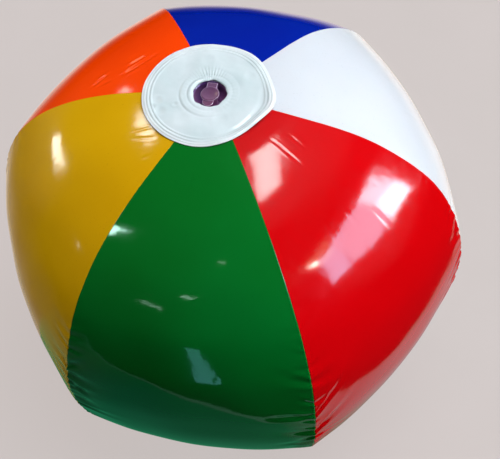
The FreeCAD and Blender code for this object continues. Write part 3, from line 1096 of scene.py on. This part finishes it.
# the table's light edge: a painted highlight line in the reflection
painted_table_rim_glow = ((-0.60, (0.08, 0.28, 0.19)), (0.40, (0.24, 0.42, 0.34)))
painted_reflection_sheet("painted_table_rim_reflection", edge_near + edge_far, painted_table_rim_glow)

# painted reflection: behind and to the left the film reflects the pale paper it stands on, a glowing sheet
# whose painted light falls away into the dark
PAPER = (
    (-1.8, -0.75),
    (-0.19, -0.06),
    (0.12, -0.06),
    (0.16, 0.10),
    (0.32, 0.10),
    (1.2, 0.9),
    (1.2, 1.6),
    (-1.8, 1.6),
)
# painted light of the reflected paper: bright near the ball, falling into the dark further away
painted_paper_glow = (
    (0.30, (0.86, 0.73, 0.62)),
    (0.39, (0.50, 0.42, 0.33)),
    (0.47, (0.25, 0.20, 0.15)),
    (0.56, (0.110, 0.085, 0.058)),
    (0.70, (0.040, 0.030, 0.020)),
    (0.90, (0.0, 0.0, 0.0)),
)
paper_corners = [(x, y, table_level + 0.4 * MM) for x, y in PAPER]
painted_reflection_sheet("paper", paper_corners, painted_paper_glow, (0.0, 0.28, table_level))


def direction(azimuth, elevation):
    """A unit vector: azimuth 0 is towards -Y and 90 towards +X."""
    a, e = math.radians(azimuth), math.radians(elevation)
    return Vector((math.sin(a) * math.cos(e), -math.cos(a) * math.cos(e), math.sin(e)))


LIGHT_DISTANCE = 3.0


def light_object(name, data, azimuth, elevation, turn=0):
    light = bpy.data.objects.new(name, data)
    bpy.context.scene.collection.objects.link(light)
    back = direction(azimuth, elevation)
    light.location = back * LIGHT_DISTANCE
    facing = back.to_track_quat("Z", "Y") @ Matrix.Rotation(math.radians(turn), 3, "Z").to_quaternion()
    light.rotation_euler = facing.to_euler()
    return light


def pane(name, azimuth, elevation, wide, tall, brightness, colour, turn=0):
    """A lit pane that shows only in gloss: its middle and size as angles from the ball, and its radiance."""
    data = bpy.data.lights.new(name, "AREA")
    data.shape = "RECTANGLE"
    data.size = 2 * LIGHT_DISTANCE * math.tan(math.radians(wide) / 2)
    data.size_y = 2 * LIGHT_DISTANCE * math.tan(math.radians(tall) / 2)
    data.energy = brightness * math.pi * data.size * data.size_y
    data.color = colour
    light = light_object(name, data, azimuth, elevation, turn)
    light.visible_diffuse = False


def fill(name, azimuth, elevation, size, power, colour):
    """A large soft light that colours the film without showing in it."""
    data = bpy.data.lights.new(name, "AREA")
    data.shape = "DISK"
    data.size = size
    data.energy = power
    data.color = colour
    light = light_object(name, data, azimuth, elevation)
    light.visible_glossy = False


pane("window_bright", 98, 20, 10.5, 22, 15, (0.80, 1.12, 1.34), turn=-4)
pane("window_core", 97.5, 14, 9.5, 12, 10, (0.90, 0.96, 1.0), turn=-4)
pane("window_middle", 86.5, 21, 10, 20, 7.5, (0.70, 0.90, 1.24), turn=-4)
pane("window_end", 75.5, 21.5, 10, 20, 7.2, (0.60, 1.06, 1.56), turn=-4)
pane("lamp_right", 69.7, 31.5, 1.9, 1.9, 42, (0.9, 0.95, 0.80))
pane("lamp_right_glow", 74.6, 31.5, 9, 8, 2.4, (1.0, 0.80, 0.45))
pane("window_left", -102.6, 12.2, 8.0, 7.6, 14, (1.0, 0.98, 0.86))
pane("skylight_left", -123.5, 50.5, 6.2, 6, 15, (1.0, 1.0, 0.94))
pane("lamp_behind", -141, 43, 5, 10, 4.5, (1.0, 0.75, 0.45))
pane("lamp_behind_low", -137, 30, 3, 5, 9, (1.0, 0.9, 0.8))
pane("skylight_right", 127, 69.5, 19, 8, 16, (0.8, 1.0, 0.98))
pane("glint_low", -4.4, -15, 3.4, 20, 1.7, (0.25, 0.90, 1.0))
pane("lamp_left", -42.8, 49.2, 1.6, 4.2, 40, (0.60, 1.0, 0.85))
pane("lamp_front", -8, 26, 5, 1.2, 6, (0.7, 1.0, 0.9))
pane("lamp_front_left", -19, 17, 5, 0.9, 4, (0.7, 1.0, 0.9))
pane("lamp_high", -1, 49, 2.0, 0.9, 5, (0.8, 1.0, 0.9))
pane("lamp_far_left", -77.4, 12.7, 1.4, 1.4, 10, (1.0, 1.0, 0.8))
fill("ceiling", 128, 70, 2.6, 126, (1.0, 1.0, 1.0))
fill("floor_bounce", -98, -38, 2.6, 50, (1.0, 0.97, 0.94))
fill("wall_left", -112, -6, 2.0, 50, (1.0, 0.98, 0.94))
fill("wall_right", 90, 12, 2.0, 98, (1.0, 0.98, 0.98))

world = bpy.data.worlds.new("room")
bpy.context.scene.world = world
world.use_nodes = True
room = world.node_tree
background = room.nodes["Background"]
background.inputs["Color"].default_value = (0.64, 0.58, 0.57, 1)
rays = room.nodes.new("ShaderNodeLightPath")
toward = room.nodes.new("ShaderNodeTexCoord")
height = room.nodes.new("ShaderNodeSeparateXYZ")
gloom = room.nodes.new("ShaderNodeMapRange")
gloom.inputs["From Min"].default_value = -0.1
gloom.inputs["To Min"].default_value = 0.02
gloom.inputs["To Max"].default_value = 0.11
choice = room.nodes.new("ShaderNodeMix")
choice.inputs["B"].default_value = 1.0
room.links.new(toward.outputs["Generated"], height.inputs["Vector"])
room.links.new(height.outputs["Z"], gloom.inputs["Value"])
room.links.new(rays.outputs["Is Camera Ray"], choice.inputs["Factor"])
room.links.new(gloom.outputs["Result"], choice.inputs["A"])
room.links.new(choice.outputs["Result"], background.inputs["Strength"])

CAMERA_AZIMUTH, CAMERA_ELEVATION = 17.8, 57.6
CAMERA_DISTANCE = 4.216 * SEAM_RADIUS
CAMERA_ROLL = 0.1329
CAMERA_TILT, CAMERA_PAN = 0.0024, 0.0199
SENSOR = 36.0
FOCAL_PIXELS, PICTURE_WIDTH = 949, 500
LENS = FOCAL_PIXELS / PICTURE_WIDTH * SENSOR

camera_data = bpy.data.cameras.new("camera")
camera_data.sensor_width = SENSOR
camera_data.lens = LENS
camera = bpy.data.objects.new("camera", camera_data)
bpy.context.scene.collection.objects.link(camera)
back = direction(CAMERA_AZIMUTH, CAMERA_ELEVATION)
right = Vector((0, 0, 1)).cross(back).normalized()
looking = Matrix((right, back.cross(right), back))
aim = Matrix.Rotation(CAMERA_TILT, 3, "X") @ Matrix.Rotation(CAMERA_PAN, 3, "Y")
aim = aim @ Matrix.Rotation(CAMERA_ROLL, 3, "Z")
camera.matrix_world = Matrix.Translation(back * CAMERA_DISTANCE) @ (aim @ looking).transposed().to_4x4()
bpy.context.scene.camera = camera
bpy.context.scene.view_settings.view_transform = "Standard"
